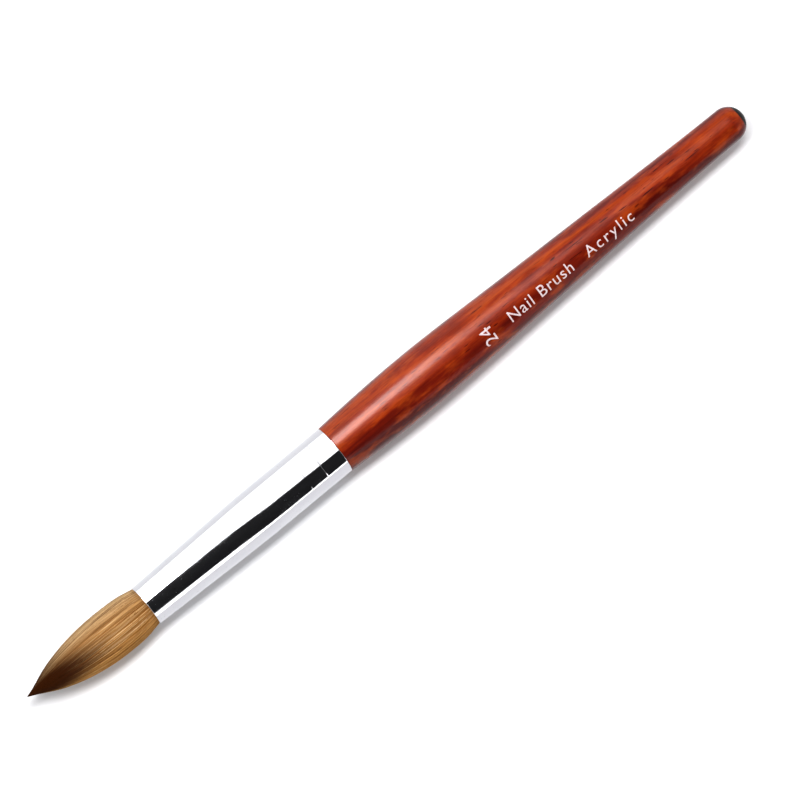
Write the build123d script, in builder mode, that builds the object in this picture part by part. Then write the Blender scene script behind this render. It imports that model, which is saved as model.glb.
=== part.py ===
"""Acrylic nail brush: a pointed tuft of natural hair in a tapered, plated ferrule on a lacquered handle.

The brush lies on its side along X, with its tip towards -X, its butt towards +X and +Z up. The origin is
under the middle of its length, on the surface that it lies on, so the brush's own axis runs along X at the
height AXIS_HEIGHT. All lengths are in millimetres.
"""

from build123d import *
import os

# Driving dimensions
HAIR_OUT = 29.2  # hair showing in front of the ferrule
FERRULE_LENGTH = 48.4
HANDLE_OUT = 105.6  # handle showing behind the ferrule

# Handle
SHOULDER_RADIUS = 5.28
BELLY_RADIUS = 6.0  # the thickest place, which the brush lies on
BELLY_FROM_SHOULDER = 22.0
SHOULDER_SLOPE = 0.055  # growth of the radius per length, just behind the ferrule
WAIST_FROM_SHOULDER = 44.0
WAIST_RADIUS = 5.37
STEM_FROM_SHOULDER = 72.0
STEM_RADIUS = 4.44
TAIL_RADIUS = 3.68  # the butt is a half ball of this radius
TENON_LENGTH = 20.0
TENON_RADIUS = 4.76
TENON_CHAMFER = 0.8
GLUE_GROOVE_WIDTH = 1.0
GLUE_GROOVE_DEPTH = 0.35
GLUE_GROOVES_FROM_SHOULDER = (13.0, 16.0)
CRIMP_GROOVE_WIDTH = 0.7
CRIMP_GROOVE_DEPTH = 0.14

# Ferrule: a drawn brass tube
FERRULE_RADIUS = 5.28
MOUTH_RADIUS = 4.43
FERRULE_WALL = 0.36
TAPER_LENGTH = 26.0
TAPER_BLEND_RADIUS = 240.0
EDGE_ROUNDING = 0.12
CRIMPS_FROM_SHOULDER = (4.85, 8.85)
CRIMP_BEAD_RADIUS = 0.3  # section of the bead that the crimping wheel rolls in
CRIMP_DEPTH = 0.16
CRIMP_BITE = 0.24  # how far the wall stands inwards under a crimp

# Tuft
HAIR_MAX_RADIUS = 5.04
HAIR_MAX_FROM_MOUTH = 8.6
HAIR_SHOULDER_RADIUS = 3.15  # where the belly turns into the point
HAIR_SHOULDER_FROM_TIP = 6.9
HAIR_POINT_SLOPE = 0.52
HAIR_RADIUS_AT_MOUTH = 4.05
HAIR_MOUTH_SLOPE = -0.3  # the hair spreads as it leaves the mouth
HAIR_IN_FERRULE = 15.5
THREAD_SEAT = (9.2, 12.2)  # where the root is drawn in, as depths behind the ferrule's mouth
THREAD_SEAT_RADIUS = 3.6
ROOT_CLEARANCE = 0.03  # between the outer hairs and the bore
ROOT_END_RADIUS = 4.0

# The bundle bends all along its length. Three lengths of it with ball ends stand for that.
BELLY_PIVOT_FROM_MOUTH = 3.0
TIP_PIVOT_FROM_MOUTH = 15.0
BALL_RADIUS = 4.1
SOCKET_RADIUS = 4.35
BALL_TURN = (0, 90, 0)  # the balls' poles lie on the brush's axis
ROOT_RIM_FROM_PIVOT = 2.2  # leaves room for the belly's edge to swing back
BELLY_RIM_FROM_PIVOT = 2.7

# Binding thread
THREAD_RADIUS = 0.2
THREAD_PITCH = 0.46
THREAD_TURNS = 5
THREAD_CLEARANCE = 0.02
KNOT_RADIUS = 0.34

# Root epoxy, as depths behind the ferrule's mouth
EPOXY_START = 12.7
EPOXY_END = 18.0
EPOXY_MENISCUS = 1.0  # the set resin's surface is this much lower at its centre

# Places along the brush
AXIS_HEIGHT = BELLY_RADIUS
X_TIP = -(HAIR_OUT + FERRULE_LENGTH + HANDLE_OUT) / 2
X_MOUTH = X_TIP + HAIR_OUT
X_TAPER = X_MOUTH + TAPER_LENGTH
X_SHOULDER = X_MOUTH + FERRULE_LENGTH
X_TENON = X_SHOULDER - TENON_LENGTH
X_BUTT = X_SHOULDER + HANDLE_OUT
X_BELLY_PIVOT = X_MOUTH - BELLY_PIVOT_FROM_MOUTH
X_TIP_PIVOT = X_MOUTH - TIP_PIVOT_FROM_MOUTH

BORE_RADIUS = FERRULE_RADIUS - FERRULE_WALL
BORE_MOUTH_RADIUS = MOUTH_RADIUS - FERRULE_WALL

# Profiles are drawn as (place along the brush, radius) on this plane and turned about the brush's axis
profile_plane = Plane(origin=(0, 0, AXIS_HEIGHT), x_dir=(1, 0, 0), z_dir=(0, -1, 0))
brush_axis = Axis((0, 0, AXIS_HEIGHT), (1, 0, 0))


def bore_radius(depth):
    """Radius of the ferrule's tapered bore at a depth behind its mouth."""
    return BORE_MOUTH_RADIUS + (BORE_RADIUS - BORE_MOUTH_RADIUS) * depth / TAPER_LENGTH


# Handle: tenon, shoulder, belly, waist, stem and round butt, turned from one piece of wood
with BuildPart() as handle:
    with BuildSketch(profile_plane):
        with BuildLine():
            Polyline(
                (X_BUTT, 0),
                (X_TENON, 0),
                (X_TENON, TENON_RADIUS - TENON_CHAMFER),
                (X_TENON + TENON_CHAMFER, TENON_RADIUS),
                (X_SHOULDER, TENON_RADIUS),
                (X_SHOULDER, SHOULDER_RADIUS),
            )
            Spline(
                (X_SHOULDER, SHOULDER_RADIUS),
                (X_SHOULDER + BELLY_FROM_SHOULDER, BELLY_RADIUS),
                (X_SHOULDER + WAIST_FROM_SHOULDER, WAIST_RADIUS),
                (X_SHOULDER + STEM_FROM_SHOULDER, STEM_RADIUS),
                (X_BUTT - TAIL_RADIUS, TAIL_RADIUS),
                tangents=[(1, SHOULDER_SLOPE), (1, 0)],
            )
            CenterArc((X_BUTT - TAIL_RADIUS, 0), TAIL_RADIUS, start_angle=0, arc_size=90)
        make_face()
    revolve(axis=brush_axis)
    with BuildSketch(profile_plane):
        with Locations([(X_SHOULDER - place, TENON_RADIUS) for place in GLUE_GROOVES_FROM_SHOULDER]):
            Rectangle(GLUE_GROOVE_WIDTH, 2 * GLUE_GROOVE_DEPTH)
        with Locations([(X_SHOULDER - place, TENON_RADIUS) for place in CRIMPS_FROM_SHOULDER]):
            Rectangle(CRIMP_GROOVE_WIDTH, 2 * CRIMP_GROOVE_DEPTH)
    revolve(axis=brush_axis, mode=Mode.SUBTRACT)
handle.part.label = "handle"

# Ferrule: straight behind and tapered in front, with two crimps that bite into the tenon
with BuildPart() as ferrule:
    with BuildSketch(profile_plane):
        with BuildLine():
            outside = FilletPolyline(
                (X_MOUTH, MOUTH_RADIUS),
                (X_TAPER, FERRULE_RADIUS),
                (X_SHOULDER, FERRULE_RADIUS),
                radius=TAPER_BLEND_RADIUS,
            )
            bore = FilletPolyline(
                (X_MOUTH, BORE_MOUTH_RADIUS),
                (X_TAPER, BORE_RADIUS),
                (X_SHOULDER, BORE_RADIUS),
                radius=TAPER_BLEND_RADIUS,
            )
            Line(outside @ 0, bore @ 0)
            Line(outside @ 1, bore @ 1)
        make_face()
    revolve(axis=brush_axis)
    rims = ferrule.edges().filter_by(GeomType.CIRCLE).group_by(Axis.X)
    fillet(rims[0] + rims[-1], EDGE_ROUNDING)
    with BuildSketch(profile_plane):
        with Locations(
            [
                (X_SHOULDER - place, BORE_RADIUS - CRIMP_BITE + CRIMP_BEAD_RADIUS)
                for place in CRIMPS_FROM_SHOULDER
            ]
        ):
            Circle(CRIMP_BEAD_RADIUS)
    revolve(axis=brush_axis)
    with BuildSketch(profile_plane):
        with Locations(
            [
                (X_SHOULDER - place, FERRULE_RADIUS - CRIMP_DEPTH + CRIMP_BEAD_RADIUS)
                for place in CRIMPS_FROM_SHOULDER
            ]
        ):
            Circle(CRIMP_BEAD_RADIUS)
    revolve(axis=brush_axis, mode=Mode.SUBTRACT)
ferrule.part.label = "ferrule"

# Glue film that fills the space between the tenon and the ferrule
with BuildPart() as tenon_glue:
    with BuildSketch(profile_plane):
        with BuildLine():
            Polyline(
                (X_TENON, TENON_RADIUS - TENON_CHAMFER),
                (X_TENON, BORE_RADIUS),
                (X_SHOULDER, BORE_RADIUS),
                (X_SHOULDER, TENON_RADIUS - TENON_CHAMFER),
                close=True,
            )
        make_face()
    revolve(axis=brush_axis)
    add(handle.part, mode=Mode.SUBTRACT)
    add(ferrule.part, mode=Mode.SUBTRACT)
tenon_glue.part.label = "tenon_glue"

# The whole tuft, from its glued root to its tip. It fills the bore, is drawn in where the thread binds it,
# swells in front of the mouth and then runs to a point.
root_start = X_MOUTH + HAIR_IN_FERRULE
thread_seat_start = X_MOUTH + THREAD_SEAT[0]
thread_seat_end = X_MOUTH + THREAD_SEAT[1]
seat_ramp = bore_radius(THREAD_SEAT[0]) - THREAD_SEAT_RADIUS
with BuildPart() as tuft:
    with BuildSketch(profile_plane):
        with BuildLine():
            Spline(
                (X_TIP, 0),
                (X_TIP + HAIR_SHOULDER_FROM_TIP, HAIR_SHOULDER_RADIUS),
                (X_MOUTH - HAIR_MAX_FROM_MOUTH, HAIR_MAX_RADIUS),
                (X_MOUTH, HAIR_RADIUS_AT_MOUTH),
                tangents=[(1, HAIR_POINT_SLOPE), (1, HAIR_MOUTH_SLOPE)],
            )
            Polyline(
                (X_MOUTH, HAIR_RADIUS_AT_MOUTH),
                (thread_seat_start - seat_ramp, bore_radius(THREAD_SEAT[0] - seat_ramp) - ROOT_CLEARANCE),
                (thread_seat_start, THREAD_SEAT_RADIUS),
                (thread_seat_end, THREAD_SEAT_RADIUS),
                (thread_seat_end + ROOT_END_RADIUS - THREAD_SEAT_RADIUS, ROOT_END_RADIUS),
                (root_start, ROOT_END_RADIUS),
                (root_start, 0),
                (X_TIP, 0),
            )
        make_face()
    revolve(axis=brush_axis)

# Root: the fixed length, which ends in a socket just in front of the mouth
with BuildPart() as tuft_root:
    add(tuft.part)
    split(bisect_by=Plane.YZ.offset(X_BELLY_PIVOT + ROOT_RIM_FROM_PIVOT), keep=Keep.TOP)
    with Locations((X_BELLY_PIVOT, 0, AXIS_HEIGHT)):
        Sphere(SOCKET_RADIUS, rotation=BALL_TURN, mode=Mode.SUBTRACT)
tuft_root.part.label = "tuft_root"

# Belly: the thick middle length, with a ball in the root's socket and a socket for the tip
with BuildPart() as tuft_belly:
    add(tuft.part)
    split(bisect_by=Plane.YZ.offset(X_BELLY_PIVOT), keep=Keep.BOTTOM)
    split(bisect_by=Plane.YZ.offset(X_TIP_PIVOT + BELLY_RIM_FROM_PIVOT), keep=Keep.TOP)
    with Locations((X_BELLY_PIVOT, 0, AXIS_HEIGHT)):
        Sphere(BALL_RADIUS, rotation=BALL_TURN)
    with Locations((X_TIP_PIVOT, 0, AXIS_HEIGHT)):
        Sphere(SOCKET_RADIUS, rotation=BALL_TURN, mode=Mode.SUBTRACT)
tuft_belly.part.label = "tuft_belly"

# Tip: the pointed front length, with a ball in the belly's socket
with BuildPart() as tuft_tip:
    add(tuft.part)
    split(bisect_by=Plane.YZ.offset(X_TIP_PIVOT), keep=Keep.BOTTOM)
    with Locations((X_TIP_PIVOT, 0, AXIS_HEIGHT)):
        Sphere(BALL_RADIUS, rotation=BALL_TURN)
tuft_tip.part.label = "tuft_tip"

# Binding thread: wound tightly round the drawn-in root and tied off with a small knot
winding_radius = THREAD_SEAT_RADIUS + THREAD_CLEARANCE + THREAD_RADIUS
winding_length = THREAD_TURNS * THREAD_PITCH
x_winding = (thread_seat_start + thread_seat_end - winding_length) / 2
with BuildPart() as binding_thread:
    with BuildLine():
        winding = Helix(
            THREAD_PITCH,
            winding_length,
            winding_radius,
            center=(x_winding, 0, AXIS_HEIGHT),
            direction=(1, 0, 0),
        )
    with BuildSketch(Plane(origin=winding @ 0, z_dir=winding % 0)):
        Circle(THREAD_RADIUS)
    sweep(path=winding, is_frenet=True)
    centre_line = Vector(x_winding + winding_length, 0, AXIS_HEIGHT)
    outwards = ((winding @ 1) - centre_line).normalized()
    with Locations(centre_line + outwards * (THREAD_SEAT_RADIUS + THREAD_CLEARANCE + KNOT_RADIUS)):
        Sphere(KNOT_RADIUS)
binding_thread.part.label = "binding_thread"

# Epoxy: poured over the root from behind, so that it grips the hair ends and the bore
meniscus_radius = (bore_radius(EPOXY_END) ** 2 + EPOXY_MENISCUS**2) / (2 * EPOXY_MENISCUS)
with BuildPart() as root_epoxy:
    with BuildSketch(profile_plane):
        with BuildLine():
            walls = Polyline(
                (X_MOUTH + EPOXY_END - EPOXY_MENISCUS, 0),
                (X_MOUTH + EPOXY_START, 0),
                (X_MOUTH + EPOXY_START, bore_radius(EPOXY_START)),
                (X_MOUTH + EPOXY_END, bore_radius(EPOXY_END)),
            )
            RadiusArc(walls @ 1, walls @ 0, -meniscus_radius)
        make_face()
    revolve(axis=brush_axis)
    add(tuft_root.part, mode=Mode.SUBTRACT)
    add(binding_thread.part, mode=Mode.SUBTRACT)
    add(ferrule.part, mode=Mode.SUBTRACT)
root_epoxy.part.label = "root_epoxy"

os.makedirs("parts", exist_ok=True)
for piece in (handle, ferrule, tenon_glue, tuft_root, tuft_belly, tuft_tip, binding_thread, root_epoxy):
    export_step(piece.part, f"parts/{piece.part.label}.step")
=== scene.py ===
"""Looks of an acrylic nail brush: a lacquered padauk handle, a plated ferrule and a tuft of natural hair.

The brush lies along X with its hair tip towards -X. Lengths are metres, and most are written as millimetres
times MM.
"""

import math
import random

import bpy
from mathutils import Matrix, Vector, geometry, noise


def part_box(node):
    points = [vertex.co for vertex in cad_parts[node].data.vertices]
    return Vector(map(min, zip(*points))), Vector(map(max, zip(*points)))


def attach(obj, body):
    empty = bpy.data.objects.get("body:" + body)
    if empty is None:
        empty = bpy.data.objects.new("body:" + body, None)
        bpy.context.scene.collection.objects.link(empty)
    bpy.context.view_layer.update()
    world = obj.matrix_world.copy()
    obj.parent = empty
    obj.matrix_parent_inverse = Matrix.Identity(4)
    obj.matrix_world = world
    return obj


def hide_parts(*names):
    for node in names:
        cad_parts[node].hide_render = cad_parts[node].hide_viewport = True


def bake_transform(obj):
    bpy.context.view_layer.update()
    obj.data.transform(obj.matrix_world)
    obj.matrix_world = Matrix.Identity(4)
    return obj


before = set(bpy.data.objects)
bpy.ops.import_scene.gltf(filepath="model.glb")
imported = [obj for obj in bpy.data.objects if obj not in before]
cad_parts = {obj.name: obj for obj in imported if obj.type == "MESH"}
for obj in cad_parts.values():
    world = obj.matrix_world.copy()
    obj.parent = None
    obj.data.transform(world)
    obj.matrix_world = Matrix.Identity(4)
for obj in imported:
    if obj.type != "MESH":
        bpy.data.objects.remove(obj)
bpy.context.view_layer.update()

MM = 0.001

# Places and sizes that the frame gives
ferrule_low, ferrule_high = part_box("ferrule")
handle_low, handle_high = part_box("handle")
AXIS_Z = (handle_low.z + handle_high.z) / 2
X_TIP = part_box("tuft_tip")[0].x
X_MOUTH = ferrule_low.x
X_SHOULDER = ferrule_high.x
X_TENON = handle_low.x
X_BUTT = handle_high.x
FERRULE_R = (ferrule_high.z - ferrule_low.z) / 2
BELLY_R = (handle_high.z - handle_low.z) / 2
HAIR_OUT = X_MOUTH - X_TIP

# Angles round the brush are counted from straight up towards -Y, the side that faces the viewer.
PRINT_ANGLE = math.radians(31)
PRINT_START = 8 * MM  # letters start this far from the axis, and are laid on the handle from there

SIDES = 160  # facets round the handle and the ferrule


# ---------------------------------------------------------------- small helpers


def linear(hex_colour):
    """The linear RGBA of an sRGB hex colour."""
    channels = [int(hex_colour[k : k + 2], 16) / 255 for k in (1, 3, 5)]
    return [c / 12.92 if c <= 0.04045 else ((c + 0.055) / 1.055) ** 2.4 for c in channels] + [1]


def add_node(tree, kind, inputs=(), **settings):
    """Adds a shader node, sets its properties, then sets or links its inputs, given as pairs of (input,
    value)."""
    made = tree.nodes.new(kind)
    for name, value in settings.items():
        setattr(made, name, value)
    for key, value in inputs:
        if isinstance(value, bpy.types.NodeSocket):
            tree.links.new(value, made.inputs[key])
        else:
            made.inputs[key].default_value = value
    return made


def new_material(name):
    """An empty material and its node tree."""
    material = bpy.data.materials.new(name)
    material.use_nodes = True
    material.node_tree.nodes.clear()
    return material, material.node_tree


def finish_material(tree, shader):
    """Links the shader to the material's output."""
    add_node(tree, "ShaderNodeOutputMaterial", [("Surface", shader.outputs[0])])


def stretched(tree, source, scale):
    """The place on a piece times a scale for each axis, in patterns per millimetre."""
    mapping = add_node(tree, "ShaderNodeMapping", [("Vector", source)])
    mapping.inputs["Scale"].default_value = [each / MM for each in scale]
    return mapping.outputs["Vector"]


def noise_of(tree, source, scale, detail=2.0, roughness=0.5, distortion=0.0):
    """Noise whose grains have the size 1 / scale millimetres along each axis."""
    made = add_node(
        tree,
        "ShaderNodeTexNoise",
        [
            ("Vector", stretched(tree, source, scale)),
            ("Scale", 1.0),
            ("Detail", detail),
            ("Roughness", roughness),
            ("Distortion", distortion),
        ],
    )
    return made.outputs["Fac"]


def ramp(tree, factor, stops):
    """A colour ramp through stops of (place, hex colour)."""
    made = add_node(tree, "ShaderNodeValToRGB", [("Fac", factor)])
    elements = made.color_ramp.elements
    while len(elements) < len(stops):
        elements.new(0.5)
    for element, (place, colour) in zip(elements, stops):
        element.position = place
        element.color = linear(colour)
    return made.outputs["Color"]


def level(tree, factor, low, high, to_low=0.0, to_high=1.0):
    """The factor's stretch from low to high, spread smoothly over to_low to to_high."""
    made = add_node(
        tree,
        "ShaderNodeMapRange",
        [("Value", factor), ("From Min", low), ("From Max", high), ("To Min", to_low), ("To Max", to_high)],
        interpolation_type="SMOOTHSTEP",
    )
    return made.outputs["Result"]


def mixed(tree, factor, first, second):
    """Two colours mixed by a factor."""
    made = add_node(tree, "ShaderNodeMix", data_type="RGBA")
    for key, value in (("Factor_Float", factor), ("A_Color", first), ("B_Color", second)):
        socket = next(each for each in made.inputs if each.identifier == key)
        if isinstance(value, bpy.types.NodeSocket):
            tree.links.new(value, socket)
        else:
            socket.default_value = value
    return next(each for each in made.outputs if each.identifier == "Result_Color")


def arithmetic(tree, operation, *values):
    """The result of an arithmetic node on two or three values."""
    return add_node(tree, "ShaderNodeMath", list(enumerate(values)), operation=operation).outputs[0]


def bumped(tree, height, distance, strength=1.0, normal=None):
    """A normal bent by a height pattern that is distance deep."""
    inputs = [("Height", height), ("Distance", distance), ("Strength", strength)]
    if normal is not None:
        inputs.append(("Normal", normal))
    return add_node(tree, "ShaderNodeBump", inputs).outputs["Normal"]


def paint(piece, material):
    """Gives a piece one material."""
    piece.data.materials.clear()
    piece.data.materials.append(material)


def smooth_line(knots, steps):
    """Points of the smooth line through knots of (place, radius, slope), with a number of steps for each
    span."""
    points = []
    for (x0, r0, slope0), (x1, r1, slope1) in zip(knots, knots[1:]):
        third = (x1 - x0) / 3
        bend = geometry.interpolate_bezier(
            (x0, r0, 0),
            (x0 + third, r0 + slope0 * third, 0),
            (x1 - third, r1 - slope1 * third, 0),
            (x1, r1, 0),
            steps + 1,
        )
        points += [(point.x, point.y) for point in bend[:-1]]
    return points + [knots[-1][:2]]


def arc(centre, radius, start, end, steps):
    """Points of an arc in an outline, from one angle in degrees to another."""
    angles = [math.radians(start + (end - start) * k / steps) for k in range(steps + 1)]
    return [(centre[0] + radius * math.cos(a), centre[1] + radius * math.sin(a)) for a in angles]


def spun(name, outline, sides=SIDES):
    """A round piece: its outline is drawn out point by point, then spun about the brush's axis."""
    bpy.ops.object.select_all(action="DESELECT")
    x, radius = outline[0]
    bpy.ops.mesh.primitive_plane_add(size=MM, location=(x, 0, AXIS_Z + radius))
    piece = bpy.context.object
    piece.name = name
    bpy.ops.object.transform_apply(location=True, rotation=True, scale=True)
    bpy.ops.object.mode_set(mode="EDIT")
    bpy.ops.mesh.select_all(action="SELECT")
    bpy.ops.mesh.merge(type="CENTER")
    for here, there in zip(outline, outline[1:]):
        step = (there[0] - here[0], 0, there[1] - here[1])
        bpy.ops.mesh.extrude_vertices_move(TRANSFORM_OT_translate={"value": step})
    bpy.ops.mesh.select_all(action="SELECT")
    bpy.ops.mesh.spin(steps=sides, angle=2 * math.pi, center=(0, 0, AXIS_Z), axis=(1, 0, 0))
    bpy.ops.mesh.select_all(action="SELECT")
    bpy.ops.mesh.remove_doubles(threshold=0.002 * MM)
    bpy.ops.mesh.normals_make_consistent(inside=False)
    bpy.ops.object.mode_set(mode="OBJECT")
    bpy.ops.object.shade_smooth_by_angle(angle=math.radians(35))
    return piece


# ---------------------------------------------------------------- materials


def lacquered_padauk():
    """Padauk, turned and dipped in clear gloss lacquer: red-orange wood with long darker bands, fine
    fibre and short open pores, under a smooth wet-looking coat."""
    material, tree = new_material("lacquered_padauk")
    place = add_node(tree, "ShaderNodeTexCoord").outputs["Object"]
    bands = noise_of(tree, place, (0.016, 0.3, 0.3), detail=3, roughness=0.55, distortion=0.6)
    mottle = noise_of(tree, place, (0.14, 0.42, 0.42), detail=3, roughness=0.6)
    fibre = noise_of(tree, place, (0.1, 3.2, 3.2), detail=4, roughness=0.65)

    # Painted shade: the wood is darker on the near side, where less light falls on it.
    across = add_node(tree, "ShaderNodeSeparateXYZ", [("Vector", place)]).outputs["Y"]
    near_side_shade = level(tree, across, 1.0 * MM, -4.0 * MM, 0.03, -0.14)
    bands = arithmetic(tree, "ADD", bands, near_side_shade)
    wood = ramp(
        tree,
        bands,
        [(0.30, "#4C0801"), (0.42, "#6C1803"), (0.54, "#872A04"), (0.70, "#9C4008")],
    )
    wood = mixed(tree, level(tree, mottle, 0.46, 0.68, 0.0, 0.45), wood, linear("#AC4A0C"))
    wood = mixed(tree, level(tree, mottle, 0.5, 0.32, 0.0, 0.36), wood, linear("#500501"))
    wood = mixed(tree, level(tree, fibre, 0.34, 0.6, 0.26, 0.0), wood, linear("#3A0401"))

    # Pores are short dark dashes, 1 to 3 mm long and 0.3 mm wide.
    pores = noise_of(tree, place, (0.36, 3.1, 3.1), detail=1, roughness=0.4)
    pore_mask = level(tree, pores, 0.65, 0.74)
    patches = noise_of(tree, place, (0.03, 0.25, 0.25), detail=1)
    pore_mask = arithmetic(tree, "MULTIPLY", pore_mask, level(tree, patches, 0.38, 0.62, 0.15, 1.0))
    wood = mixed(tree, pore_mask, wood, linear("#380501"))

    peel = noise_of(tree, place, (0.35, 0.9, 0.9), detail=2)
    under = bumped(tree, pore_mask, -0.02 * MM, 0.6)
    coat = bumped(tree, peel, 0.012 * MM, 0.5)
    shader = add_node(
        tree,
        "ShaderNodeBsdfPrincipled",
        [
            ("Base Color", wood),
            ("Roughness", level(tree, fibre, 0.3, 0.7, 0.42, 0.6)),
            ("Specular IOR Level", 0.0),
            ("Coat Weight", 1.0),
            ("Coat Roughness", 0.24),
            ("Coat IOR", 1.3),
            ("Normal", under),
            ("Coat Normal", coat),
        ],
    )
    finish_material(tree, shader)
    return material


def end_grain_seal():
    """The dab of black sealing paint that closes the end grain at the butt: dull, slightly lumpy."""
    material, tree = new_material("black_end_seal")
    place = add_node(tree, "ShaderNodeTexCoord").outputs["Object"]
    lumps = noise_of(tree, place, (1.4, 1.4, 1.4), detail=3)
    shader = add_node(
        tree,
        "ShaderNodeBsdfPrincipled",
        [
            ("Base Color", ramp(tree, lumps, [(0.35, "#0B0908"), (0.7, "#1D1512")])),
            ("Roughness", level(tree, lumps, 0.3, 0.7, 0.38, 0.55)),
            ("Specular IOR Level", 0.15),
            ("Normal", bumped(tree, lumps, 0.05 * MM, 0.5)),
        ],
    )
    finish_material(tree, shader)
    return material


def plated_brass():
    """Nickel-plated drawn brass, polished: a clear mirror with faint lines round it from polishing on a
    lathe, small specks and light handling marks that dull it a little."""
    material, tree = new_material("plated_brass")
    place = add_node(tree, "ShaderNodeTexCoord").outputs["Object"]
    turned = noise_of(tree, place, (5.5, 0.05, 0.05), detail=3, roughness=0.6)
    smears = noise_of(tree, place, (0.16, 0.3, 0.3), detail=3, roughness=0.6)
    specks = noise_of(tree, place, (3.2, 3.2, 3.2), detail=1)
    speck_mask = level(tree, specks, 0.69, 0.77)
    tint = ramp(tree, smears, [(0.3, "#C4C4C8"), (0.7, "#CACACD")])
    tint = mixed(tree, speck_mask, tint, linear("#A4A6AB"))
    worn = level(tree, smears, 0.35, 0.7, 0.045, 0.09)
    dulled = arithmetic(tree, "MULTIPLY_ADD", speck_mask, 0.2, worn)
    ripple = bumped(tree, smears, 0.04 * MM, 0.35)
    lines = bumped(tree, turned, 0.0012 * MM, 0.5, ripple)
    shader = add_node(
        tree,
        "ShaderNodeBsdfPrincipled",
        [("Base Color", tint), ("Metallic", 1.0), ("Roughness", dulled), ("Normal", lines)],
    )
    finish_material(tree, shader)
    return material


def natural_hair(name, depth):
    """Natural sable-type hair: tan with golden brown streaks that run with the hair, dark brown at the
    point, with a soft silky shine. Painted light makes it paler on the far side and golden on the near side.
    It reads each point's place at rest, so the streaks stay on the hair when it bends. The last argument is
    painted shade that darkens hair lying under other hair."""
    material, tree = new_material(name)
    rest = add_node(tree, "ShaderNodeAttribute", attribute_name="rest_place", attribute_type="GEOMETRY")
    toned = add_node(tree, "ShaderNodeAttribute", attribute_name="hair_tone", attribute_type="GEOMETRY")
    tone = toned.outputs["Fac"]
    split = add_node(tree, "ShaderNodeSeparateXYZ", [("Vector", rest.outputs["Vector"])])
    out, sideways, up = (split.outputs[axis] for axis in "XYZ")

    # Each hair's pattern is shifted along it by its own tone, so neighbours don't match.
    shifted = arithmetic(tree, "MULTIPLY_ADD", tone, 9.0, out)
    along = add_node(tree, "ShaderNodeCombineXYZ", [("X", shifted), ("Y", sideways), ("Z", up)]).outputs[0]
    locks = noise_of(tree, along, (0.05 * MM, 8.0 * MM, 8.0 * MM), detail=3, roughness=0.6)
    strands = noise_of(tree, along, (0.07 * MM, 24 * MM, 24 * MM), detail=3, roughness=0.7)
    colour = ramp(
        tree,
        locks,
        [(0.30, "#744A20"), (0.44, "#946A3B"), (0.56, "#AF8858"), (0.70, "#CDAE84")],
    )
    # Painted light: the far side is paler and the near side golden, as light falls on them.
    painted_far_light = level(tree, sideways, -0.15, -0.9, 0.0, 0.42)
    colour = mixed(tree, painted_far_light, colour, linear("#DCC49C"))
    painted_near_light = level(tree, sideways, 0.5, 0.95, 0.0, 0.5)
    colour = mixed(tree, painted_near_light, colour, linear("#CC9A58"))
    colour = mixed(tree, level(tree, strands, 0.36, 0.56, 0.6, 0.0), colour, linear("#5C370F"))
    colour = mixed(tree, level(tree, tone, 0.0, 0.5, 0.6, 0.0), colour, linear("#553010"))
    colour = mixed(tree, level(tree, tone, 0.7, 1.0, 0.0, 0.4), colour, linear("#E0C596"))

    # The hair darkens towards its point, at a place that wanders from lock to lock and from hair to hair.
    # The dark reaches furthest back on the upper side, and least far on the near side: partly the hair's own
    # colour, partly painted shade.
    wander = arithmetic(tree, "MULTIPLY_ADD", locks, 7.0, out)
    wander = arithmetic(tree, "MULTIPLY_ADD", tone, -3.0, wander)
    upwards = add_node(
        tree,
        "ShaderNodeVectorMath",
        [(0, rest.outputs["Vector"]), (1, (0.0, 0.5, 0.87))],
        operation="DOT_PRODUCT",
    ).outputs["Value"]
    wander = arithmetic(tree, "ADD", wander, level(tree, upwards, 0.45, 1.0, 0.0, 7.0))
    wander = arithmetic(tree, "ADD", wander, level(tree, sideways, 0.5, 0.95, 0.0, -3.5))
    point = level(tree, wander, 16.5, 29.5)
    colour = mixed(tree, point, colour, linear("#381902"))
    # Painted shade where the hair comes out of the ferrule's mouth.
    root = level(tree, out, 1.6, -0.4)
    colour = mixed(tree, level(tree, root, 0, 1, 0, 0.35), colour, linear("#5A3510"))
    # Painted shade on hair that lies under other hair.
    colour = mixed(tree, depth, colour, linear("#3B2209"))
    fine = bumped(tree, strands, 0.03 * MM, 0.6)
    shader = add_node(
        tree,
        "ShaderNodeBsdfPrincipled",
        [
            ("Base Color", colour),
            ("Roughness", level(tree, strands, 0.3, 0.7, 0.5, 0.38)),
            ("IOR", 1.55),
            ("Specular IOR Level", 0.02),
            ("Normal", fine),
        ],
    )
    finish_material(tree, shader)
    return material


def print_ink():
    """Screen-printed white enamel ink: an opaque matt white, thinner in places, so a little wood shows
    through."""
    material, tree = new_material("white_print_ink")
    place = add_node(tree, "ShaderNodeTexCoord").outputs["Object"]
    thin = noise_of(tree, place, (2.2, 2.2, 2.2), detail=3, roughness=0.7)
    colour = ramp(tree, thin, [(0.28, "#9C7C74"), (0.42, "#BEACAE"), (0.6, "#CCC0C2")])
    shader = add_node(
        tree,
        "ShaderNodeBsdfPrincipled",
        [
            ("Base Color", colour),
            ("Roughness", level(tree, thin, 0.3, 0.7, 0.5, 0.35)),
            ("Normal", bumped(tree, thin, 0.006 * MM, 0.5)),
        ],
    )
    finish_material(tree, shader)
    return material


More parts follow.
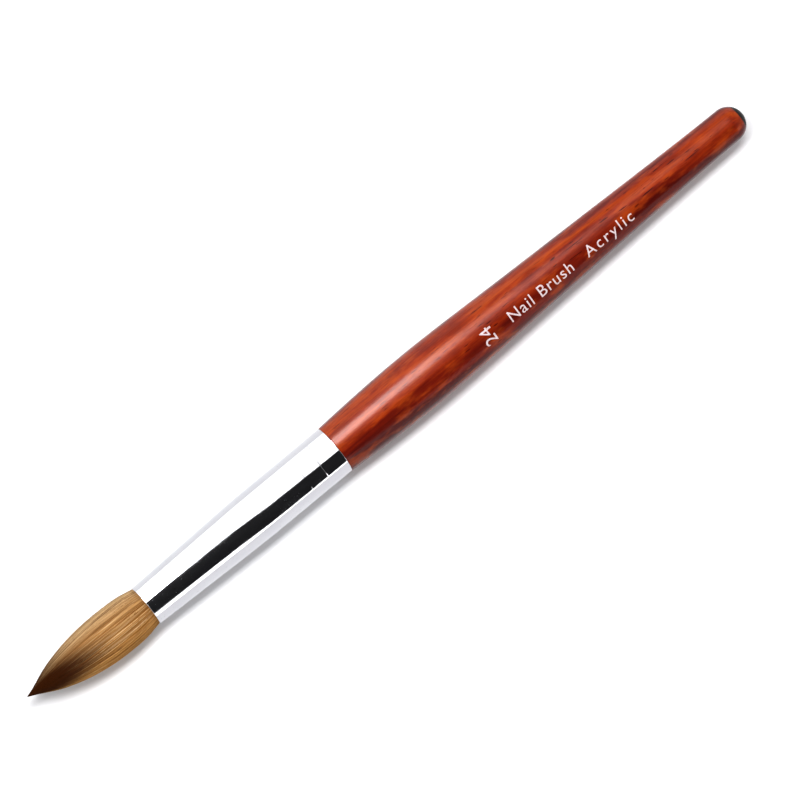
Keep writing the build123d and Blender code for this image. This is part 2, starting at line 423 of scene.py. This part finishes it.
def cast_resin(name, pale, deep, roughness):
    """A set adhesive: one translucent-looking colour, cloudy, with small bubbles."""
    material, tree = new_material(name)
    place = add_node(tree, "ShaderNodeTexCoord").outputs["Object"]
    cloud = noise_of(tree, place, (0.5, 0.5, 0.5), detail=3)
    bubbles = add_node(
        tree,
        "ShaderNodeTexVoronoi",
        [("Vector", stretched(tree, place, (2.0, 2.0, 2.0))), ("Scale", 1.0)],
    ).outputs["Distance"]
    colour = ramp(tree, cloud, [(0.3, deep), (0.7, pale)])
    colour = mixed(tree, level(tree, bubbles, 0.22, 0.12, 0.0, 0.5), colour, linear("#F3E6C8"))
    shader = add_node(
        tree,
        "ShaderNodeBsdfPrincipled",
        [
            ("Base Color", colour),
            ("Roughness", roughness),
            ("IOR", 1.5),
            ("Subsurface Weight", 0.2),
            ("Subsurface Scale", 0.5 * MM),
            ("Normal", bumped(tree, bubbles, 0.03 * MM, 0.4)),
        ],
    )
    finish_material(tree, shader)
    return material


def waxed_thread():
    """Waxed cotton thread: off-white, with the slant of its twist and darker wax in the hollows."""
    material, tree = new_material("waxed_thread")
    place = add_node(tree, "ShaderNodeTexCoord").outputs["Object"]
    twist = add_node(
        tree,
        "ShaderNodeTexWave",
        [("Vector", stretched(tree, place, (1.6, 1.6, 1.6))), ("Scale", 1.0), ("Distortion", 1.5)],
        bands_direction="DIAGONAL",
    ).outputs["Fac"]
    fuzz = noise_of(tree, place, (4, 4, 4), detail=3)
    colour = ramp(tree, twist, [(0.2, "#9C8C68"), (0.7, "#D8CCAE")])
    colour = mixed(tree, level(tree, fuzz, 0.4, 0.7, 0.0, 0.4), colour, linear("#E9E0C8"))
    shader = add_node(
        tree,
        "ShaderNodeBsdfPrincipled",
        [
            ("Base Color", colour),
            ("Roughness", 0.55),
            ("Sheen Weight", 0.2),
            ("Normal", bumped(tree, twist, 0.03 * MM, 0.6)),
        ],
    )
    finish_material(tree, shader)
    return material


# ---------------------------------------------------------------- handle


def handle_knots():
    """The handle's outline behind the ferrule, as (place, radius, slope)."""
    knots = [
        (0, 5.28, 0.055),
        (22, BELLY_R / MM, -0.003),
        (44, 5.37, -0.037),
        (72, 4.45, -0.034),
        (90, 3.9, -0.024),
    ]
    return [(X_SHOULDER + at * MM, radius * MM, slope) for at, radius, slope in knots]


TAIL_R = 3.68 * MM
SEAL_DEPTH = 1.25 * MM  # how far the black seal comes round the butt
TENON_R = 4.76 * MM
TENON_CHAMFER = 0.8 * MM

# Grooves in the tenon as (distance from the shoulder, half of the width, depth), in millimetres: two hold
# glue and two lie under the crimps.
TENON_GROOVES = [(16, 0.5, 0.35), (13, 0.5, 0.35), (8.85, 0.35, 0.14), (4.85, 0.35, 0.14)]


def make_handle():
    """The turned handle, with its hidden tenon, glue grooves and crimp grooves, and its rounded butt."""
    outline = [
        (X_TENON, 0),
        (X_TENON, TENON_R - TENON_CHAMFER),
        (X_TENON + TENON_CHAMFER, TENON_R),
    ]
    for from_shoulder, half_width, depth in TENON_GROOVES:
        middle = X_SHOULDER - from_shoulder * MM
        outline += [
            (middle - half_width * MM, TENON_R),
            (middle - half_width * MM, TENON_R - depth * MM),
            (middle + half_width * MM, TENON_R - depth * MM),
            (middle + half_width * MM, TENON_R),
        ]
    outline += [(X_SHOULDER, TENON_R)]
    tail = (X_BUTT - TAIL_R, TAIL_R, -0.004)
    body = smooth_line(handle_knots() + [tail], 14)

    # The lacquer rounds the shoulder's edge over.
    outline += [(X_SHOULDER, FERRULE_R - 0.1 * MM), (X_SHOULDER + 0.03 * MM, FERRULE_R - 0.03 * MM)]
    outline += [(X_SHOULDER + 0.1 * MM, FERRULE_R)] + body[1:-1]
    outline += arc((X_BUTT - TAIL_R, 0), TAIL_R, 90, 0, 20)
    piece = spun("turned_handle", outline)
    paint(piece, lacquered_padauk())
    piece.data.materials.append(end_grain_seal())
    for face in piece.data.polygons:
        if face.center.x > X_BUTT - SEAL_DEPTH:
            face.material_index = 1
    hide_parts("handle")
    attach(piece, "brush")
    return piece


# ---------------------------------------------------------------- print on the handle


def make_mark(name, words, ink, handle, from_shoulder, length, turned, tracking):
    """One printed word or number: flat letters are cut fine, laid on the handle from outside and given a
    skin's thickness. The length is measured along the words."""
    bpy.ops.object.select_all(action="DESELECT")
    bpy.ops.object.text_add()
    piece = bpy.context.object
    piece.name = name
    piece.data.body = words
    piece.data.align_x = "CENTER"
    piece.data.align_y = "CENTER"
    piece.data.space_character = tracking
    piece.data.resolution_u = 6
    bpy.context.view_layer.update()
    size = length / piece.dimensions.x
    piece.scale = (size, size, size)
    outwards = Vector((0, -math.sin(PRINT_ANGLE), math.cos(PRINT_ANGLE)))
    centre = Vector((X_SHOULDER + from_shoulder, 0, AXIS_Z)) + outwards * PRINT_START
    turn = Matrix.Rotation(PRINT_ANGLE, 4, "X") @ Matrix.Rotation(math.radians(90 * turned), 4, "Z")
    bpy.ops.object.convert(target="MESH")
    bpy.ops.object.transform_apply(location=True, rotation=True, scale=True)

    # Cuts every 0.25 mm let the letters follow the round handle.
    reach = length / 2 + MM
    cut = 0.25 * MM
    bpy.ops.object.mode_set(mode="EDIT")
    for axis in ((1, 0, 0), (0, 1, 0)):
        for k in range(int(-reach / cut), int(reach / cut) + 1):
            bpy.ops.mesh.select_all(action="SELECT")
            bpy.ops.mesh.bisect(plane_co=[k * cut * each for each in axis], plane_no=axis)
    bpy.ops.mesh.select_all(action="SELECT")
    bpy.ops.mesh.remove_doubles(threshold=0.002 * MM)
    bpy.ops.object.mode_set(mode="OBJECT")
    piece.matrix_world = Matrix.Translation(centre) @ turn

    wrap = piece.modifiers.new("lay_on_handle", "SHRINKWRAP")
    wrap.target = handle
    wrap.wrap_method = "PROJECT"
    wrap.use_project_z = True
    wrap.use_negative_direction = True
    wrap.use_positive_direction = False
    wrap.offset = 0.012 * MM
    bpy.ops.object.modifier_apply(modifier=wrap.name)
    skin = piece.modifiers.new("skin", "SOLIDIFY")
    skin.thickness = 0.03 * MM
    skin.offset = 1
    bpy.ops.object.modifier_apply(modifier=skin.name)
    bpy.ops.object.transform_apply(location=True, rotation=True, scale=True)
    paint(piece, ink)
    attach(piece, "brush")
    return piece


def make_print(handle):
    """The size number stands across the handle, and two plain words run along it towards the butt."""
    ink = print_ink()
    make_mark("size_number", "24", ink, handle, 37.3 * MM, 3.7 * MM, 1, 1.0)
    make_mark("large_word", "Nail Brush", ink, handle, 50.8 * MM, 16.3 * MM, 0, 1.1)
    make_mark("small_word", "Acrylic", ink, handle, 68.8 * MM, 12.2 * MM, 0, 1.25)


# ---------------------------------------------------------------- ferrule


# Rings scored by the crimping wheel, as (distance from the shoulder, depth), in millimetres
SCORED_RINGS = [(8.85, 0.012), (4.85, 0.024)]

# A scored ring's section as (place across it in millimetres, share of its depth): a fine groove with
# rounded edges
RING_SECTION = [(-0.11, 0), (-0.09, 0), (-0.06, 0.15), (0, 1), (0.06, 0.15), (0.09, 0), (0.11, 0)]


def make_ferrule():
    """The plated tube: rounded lips, a long taper to the mouth, and two scored rings."""
    wall = 0.36 * MM
    lip = 0.12 * MM
    mouth_r = 4.43 * MM
    taper = 26 * MM
    slope = (FERRULE_R - mouth_r) / taper
    near = 0.04 * MM
    taper_end = X_MOUTH + 21 * MM  # the taper is straight up to here
    straight_start = X_MOUTH + 31 * MM  # and has turned into the straight stretch by here
    outside = [
        (X_MOUTH + lip, mouth_r + slope * lip, slope),
        (X_MOUTH + lip + near, mouth_r + slope * (lip + near), slope),
        (taper_end, mouth_r + slope * (taper_end - X_MOUTH), slope),
        (straight_start, FERRULE_R, 0),
    ]
    outline = arc((X_MOUTH + lip, mouth_r - lip), lip, 180, 100, 4)
    outline += smooth_line(outside, 12)
    outline += [(straight_start + MM, FERRULE_R)]
    for from_shoulder, depth in SCORED_RINGS:
        middle = X_SHOULDER - from_shoulder * MM
        outline += [(middle + step * MM, FERRULE_R - depth * share * MM) for step, share in RING_SECTION]
    outline += [(X_SHOULDER - lip - near, FERRULE_R)]
    outline += arc((X_SHOULDER - lip, FERRULE_R - lip), lip, 90, 0, 4)
    bore = [
        (X_SHOULDER, FERRULE_R - wall + lip / 2),
        (X_SHOULDER - lip / 2, FERRULE_R - wall),
        (straight_start, FERRULE_R - wall),
        (taper_end, mouth_r - wall + slope * (taper_end - X_MOUTH)),
        (X_MOUTH + lip, mouth_r - wall + slope * lip),
    ]
    outline += bore + arc((X_MOUTH + lip, mouth_r - wall + lip), lip, 270, 180, 4)
    outline.append(outline[0])
    piece = spun("plated_ferrule", outline)
    paint(piece, plated_brass())
    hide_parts("ferrule")
    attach(piece, "brush")


# ---------------------------------------------------------------- tuft

# The tuft's outline as (distance out of the mouth, radius, slope), in millimetres
HAIR_KNOTS = [
    (-1.0, 3.98, 0.02),
    (0.0, 4.04, 0.12),
    (1.2, 4.42, 0.26),
    (4.2, 4.88, 0.075),
    (8.5, 4.97, 0.0),
    (15.3, 4.47, -0.14),
    (19.6, 3.62, -0.26),
    (23.4, 2.45, -0.4),
    (27.0, 0.84, -0.45),
    (29.0, 0.06, -0.35),
]
HAIR_TABLE = smooth_line(HAIR_KNOTS, 10)

# More sizes of the tuft, in millimetres
SPLIT = 8.8  # the two lengths meet this far out, between the two places where the tuft bends
LEAN = 1.12  # the point stands this far to the side, as hair does after it has been drawn to a point

# The root's outline as (distance behind the mouth, radius), in millimetres
ROOT_OUTLINE = [(15.5, 0), (15.5, 4.0), (12.6, 4.0), (12.2, 3.6), (9.2, 3.6), (8.4, 4.1), (1.0, 3.95)]

CORE_SHARE = 0.955  # the core's radius as a share of the tuft's
CORE_END = 28.6  # the core comes to its own point this far out


def hair_radius(out):
    """The tuft's radius at a distance out of the mouth, in millimetres."""
    for (x0, r0), (x1, r1) in zip(HAIR_TABLE, HAIR_TABLE[1:]):
        if out <= x1:
            return r0 + (r1 - r0) * max(0.0, out - x0) / (x1 - x0)
    return HAIR_TABLE[-1][1]


def hair_centre(out):
    """How far the middle of the tuft stands to the side of the brush's axis, in millimetres."""
    return LEAN * max(0.0, out / (HAIR_OUT / MM)) ** 2.2


def lock_swell(out, angle):
    """How much locks of hair stand out of the tuft or sink into it, as a share of its radius."""
    around = Vector((math.cos(angle) * 3.1, math.sin(angle) * 3.1, out * 0.035))
    fine = Vector((math.cos(angle) * 9.0, math.sin(angle) * 9.0, 5 + out * 0.05))
    return 0.022 * noise.noise(around) + 0.018 * noise.noise(fine)


def hair_point(out, angle, share):
    """A point of the tuft in metres. Share is its distance from the middle, as a share of the radius."""
    radius = hair_radius(out) * share * (1 + lock_swell(out, angle) * min(1, max(0, out) / 3))
    y = hair_centre(out) - radius * math.sin(angle)
    z = radius * math.cos(angle)
    return Vector((X_MOUTH - out * MM, y * MM, AXIS_Z + z * MM))


def keep_rest_place(piece, tones):
    """Stores on each vertex where it is on the straight tuft: its distance out of the mouth in
    millimetres and its direction from the tuft's middle. A second attribute holds the tone of its
    hair."""
    places = []
    for vertex in piece.data.vertices:
        out = (X_MOUTH - vertex.co.x) / MM
        across = Vector((hair_centre(out) * MM - vertex.co.y, vertex.co.z - AXIS_Z))
        across = across.normalized() if across.length > 0 else across
        places += [out, across.x, across.y]
    piece.data.attributes.new("rest_place", "FLOAT_VECTOR", "POINT").data.foreach_set("vector", places)
    piece.data.attributes.new("hair_tone", "FLOAT", "POINT").data.foreach_set("value", tones)


def cut_at_split(piece, keep_front):
    """Keeps the tuft's front length or its rear length."""
    bpy.ops.object.select_all(action="DESELECT")
    bpy.context.view_layer.objects.active = piece
    piece.select_set(True)
    bpy.ops.object.mode_set(mode="EDIT")
    bpy.ops.mesh.select_all(action="SELECT")
    bpy.ops.mesh.bisect(
        plane_co=(X_MOUTH - SPLIT * MM, 0, 0),
        plane_no=(1, 0, 0),
        clear_outer=keep_front,
        clear_inner=not keep_front,
    )
    bpy.ops.object.mode_set(mode="OBJECT")


def two_lengths(piece, name):
    """Cuts a piece of the tuft in two, a rear and a front length."""
    front = piece.copy()
    front.data = piece.data.copy()
    bpy.context.collection.objects.link(front)
    piece.name = f"{name}_rear"
    front.name = f"{name}_front"
    cut_at_split(piece, False)
    cut_at_split(front, True)
    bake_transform(piece)
    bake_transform(front)
    return piece, front


def make_core():
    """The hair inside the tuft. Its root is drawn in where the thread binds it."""
    outline = [(X_MOUTH + behind * MM, radius * MM) for behind, radius in ROOT_OUTLINE]

    # The core follows the tuft from the mouth out, but stops short of the tuft's fine end.
    outline += [(X_MOUTH - out * MM, radius * CORE_SHARE * MM) for out, radius in HAIR_TABLE[10:-6]]
    outline.append((X_MOUTH - CORE_END * MM, 0))
    piece = spun("tuft_core", outline, sides=96)
    for vertex in piece.data.vertices:
        out = (X_MOUTH - vertex.co.x) / MM
        if out > 0:
            angle = math.atan2(-vertex.co.y, vertex.co.z - AXIS_Z)
            share = math.hypot(vertex.co.y, vertex.co.z - AXIS_Z) / (hair_radius(out) * MM)
            vertex.co = hair_point(out, angle, min(share, CORE_SHARE))
    keep_rest_place(piece, [0.4] * len(piece.data.vertices))
    # The core gets painted shade, as it lies under the strands.
    paint(piece, natural_hair("hair_core", 0.45))
    return piece


def make_strands(count, seed, points):
    """Single hairs that lie over the core, from just inside the mouth to their own fine points."""
    dice = random.Random(seed)
    curve = bpy.data.curves.new("strands", "CURVE")
    curve.dimensions = "3D"
    curve.bevel_depth = 1.0
    curve.bevel_resolution = 0
    curve.use_fill_caps = True
    longest = HAIR_OUT / MM
    tones = []
    for k in range(count):
        angle = 2 * math.pi * (k + dice.random()) / count
        drift = dice.gauss(0, 0.05)
        share = 1.0 - 0.035 * dice.random() ** 1.5
        end = longest - 0.15 - 9.0 * dice.random() ** 2.4
        half_width = dice.uniform(0.06, 0.1)
        lift = 0.006 * dice.random() ** 6
        spline = curve.splines.new("POLY")
        spline.points.add(points - 1)
        for i, point in enumerate(spline.points):
            t = i / (points - 1)
            out = -1.0 + (end + 1.0) * t ** 0.9
            swing = angle + drift * t * t
            place = hair_point(out, swing, share + lift * t)
            point.co = (*place, 1)
            thin = 1.0 - 0.93 * max(0.0, (t - 0.45) / 0.55) ** 1.3
            point.radius = half_width * MM * thin
        tones.append(min(1.0, max(0.0, dice.gauss(0.5, 0.25))))
    piece = bpy.data.objects.new("tuft_strands", curve)
    bpy.context.collection.objects.link(piece)
    bpy.ops.object.select_all(action="DESELECT")
    bpy.context.view_layer.objects.active = piece
    piece.select_set(True)
    bpy.ops.object.convert(target="MESH")
    piece = bpy.context.object
    bpy.ops.object.shade_smooth()
    share = len(piece.data.vertices) // count
    keep_rest_place(piece, [tones[index // share] for index in range(len(piece.data.vertices))])
    paint(piece, natural_hair("hair_strands", 0.0))
    return piece


def make_tuft():
    """The core and the hairs over it, each in a rear and a front length."""
    core_rear = two_lengths(make_core(), "tuft_core")[0]
    strands_rear, strands_front = two_lengths(make_strands(2000, 7, 17), "tuft_strands")
    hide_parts("tuft_root")
    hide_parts("tuft_belly")
    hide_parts("tuft_tip")


# ---------------------------------------------------------------- hidden pieces that the frame gives


def paint_hidden_pieces():
    """Materials for the frame's own pieces inside the ferrule."""
    finishes = {
        "tenon_glue": cast_resin("wood_glue", "#D9C089", "#B8964F", 0.55),
        "root_epoxy": cast_resin("root_epoxy", "#C99A45", "#8E5F1D", 0.15),
        "binding_thread": waxed_thread(),
    }
    for node, material in finishes.items():
        paint(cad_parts[node], material)


# ---------------------------------------------------------------- stage, light and camera


def plain_material(name, colour, roughness, glow=0.0):
    """A plain surface for the stage. Glow is light that comes through it from below."""
    material, tree = new_material(name)
    shader = add_node(
        tree,
        "ShaderNodeBsdfPrincipled",
        [
            ("Base Color", linear(colour)),
            ("Roughness", roughness),
            ("Specular IOR Level", 0.0),
            ("Emission Color", (1, 1, 1, 1)),
            ("Emission Strength", glow),
        ],
    )
    finish_material(tree, shader)
    return material


SOFTBOX_DISTANCE = 0.6

# The lights as (name, degrees round the brush, x, length, width, radiance, in plain lighting, in reflections).
# Degrees are counted from straight up towards the near side. A radiance of 1 shows as white.
SOFTBOXES = [
    ("wide_soft_box", -20.5, -0.28, 0.84, 1.22, 1.8, False, True),
    ("key_light", -7, 0.0, 0.6, 0.15, 16.0, True, False),
    ("highlight_strip", -20, -0.09, 0.44, 0.32, 22.0, False, True),
    ("far_low_strip", -78.5, 0.0, 1.4, 0.266, 1.25, False, True),
    ("near_low_strip", 80, 0.0, 1.4, 0.2, 2.1, False, True),
]
ROOM_BRIGHTNESS = 0.75
DISPLAY_GAMMA = 0.85
CARD_DISTANCE = 0.45
CARD_ANGLE = math.radians(41)

# The card's outline in metres, as (place along the brush, place across it). It is wider at the hair's
# end, so the band that it gives runs evenly down the taper.
CARD_OUTLINE = [
    (0.3, 0.173),
    (0.041, 0.173),
    (-0.052, 0.453),
    (-0.27, 0.453),
    (-0.27, -0.205),
    (-0.052, -0.205),
    (0.041, -0.398),
    (0.3, -0.398),
]


def stand_round(distance, angle, x=0.0):
    """A place at a distance and an angle round the brush."""
    return (x, -math.sin(angle) * distance, AXIS_Z + math.cos(angle) * distance)


def add_softbox(name, angle, x, length, width, radiance, diffuse, glossy):
    """A rectangular light with an even face, which the camera doesn't see. Sizes and the place x are in
    metres. Without diffuse it serves for reflections alone, and without glossy for plain lighting
    alone."""
    place = stand_round(SOFTBOX_DISTANCE, angle, x)
    bpy.ops.object.light_add(type="AREA", location=place, rotation=(angle, 0, 0))
    lamp = bpy.context.object
    lamp.name = name
    lamp.visible_camera = False
    lamp.visible_diffuse = diffuse
    lamp.visible_glossy = glossy
    lamp.data.shape = "RECTANGLE"
    lamp.data.size = length
    lamp.data.size_y = width
    lamp.data.energy = radiance * math.pi * length * width


def make_stage():
    """A pale floor in a white room. A narrow key light overhead does the plain lighting. A wide soft box
    with a brighter strip in it and two low strips show in reflections alone, as does a dark card over the
    near side, which gives the metal its dark band."""
    bpy.ops.object.select_all(action="DESELECT")
    bpy.ops.mesh.primitive_plane_add(size=6, location=(0, 0, 0))
    floor = bpy.context.object
    floor.name = "floor"
    paint(floor, plain_material("lit_white_table", "#DCDCDE", 0.8, glow=0.05))

    shape = bpy.data.meshes.new("dark_card")
    shape.from_pydata([(x, y, 0) for x, y in CARD_OUTLINE], [], [list(range(len(CARD_OUTLINE)))])
    card = bpy.data.objects.new("dark_card", shape)
    bpy.context.collection.objects.link(card)
    card.location = stand_round(CARD_DISTANCE, CARD_ANGLE)
    card.rotation_euler = (CARD_ANGLE, 0, 0)
    paint(card, plain_material("black_felt", "#343435", 1.0))
    card.visible_camera = False
    card.visible_diffuse = False
    card.visible_shadow = False

    for name, angle, x, length, width, radiance, diffuse, glossy in SOFTBOXES:
        add_softbox(name, math.radians(angle), x, length, width, radiance, diffuse, glossy)

    world = bpy.data.worlds.new("white_room")
    bpy.context.scene.world = world
    world.use_nodes = True
    background = world.node_tree.nodes["Background"]
    background.inputs["Color"].default_value = (1, 1, 1, 1)
    background.inputs["Strength"].default_value = ROOM_BRIGHTNESS
    bpy.context.scene.view_settings.view_transform = "Standard"
    bpy.context.scene.view_settings.gamma = DISPLAY_GAMMA


CAMERA_DISTANCE = 1.312


def make_camera():
    """A long lens that looks down steeply from the near side, turned towards the hair's end."""
    azimuth = math.radians(-40.2)
    elevation = math.radians(78)
    back = Vector(
        (
            math.sin(azimuth) * math.cos(elevation),
            -math.cos(azimuth) * math.cos(elevation),
            math.sin(elevation),
        )
    )
    aim = Vector((2.2 * MM, -0.6 * MM, AXIS_Z))
    data = bpy.data.cameras.new("camera")
    data.lens = 300
    data.clip_start = 0.05
    data.clip_end = 20
    camera = bpy.data.objects.new("camera", data)
    bpy.context.collection.objects.link(camera)
    camera.location = aim + back * CAMERA_DISTANCE
    camera.rotation_mode = "QUATERNION"
    camera.rotation_quaternion = (-back).to_track_quat("-Z", "Y")
    bpy.context.scene.camera = camera


make_camera()
make_stage()
handle = make_handle()
make_print(handle)
make_ferrule()
make_tuft()
paint_hidden_pieces()
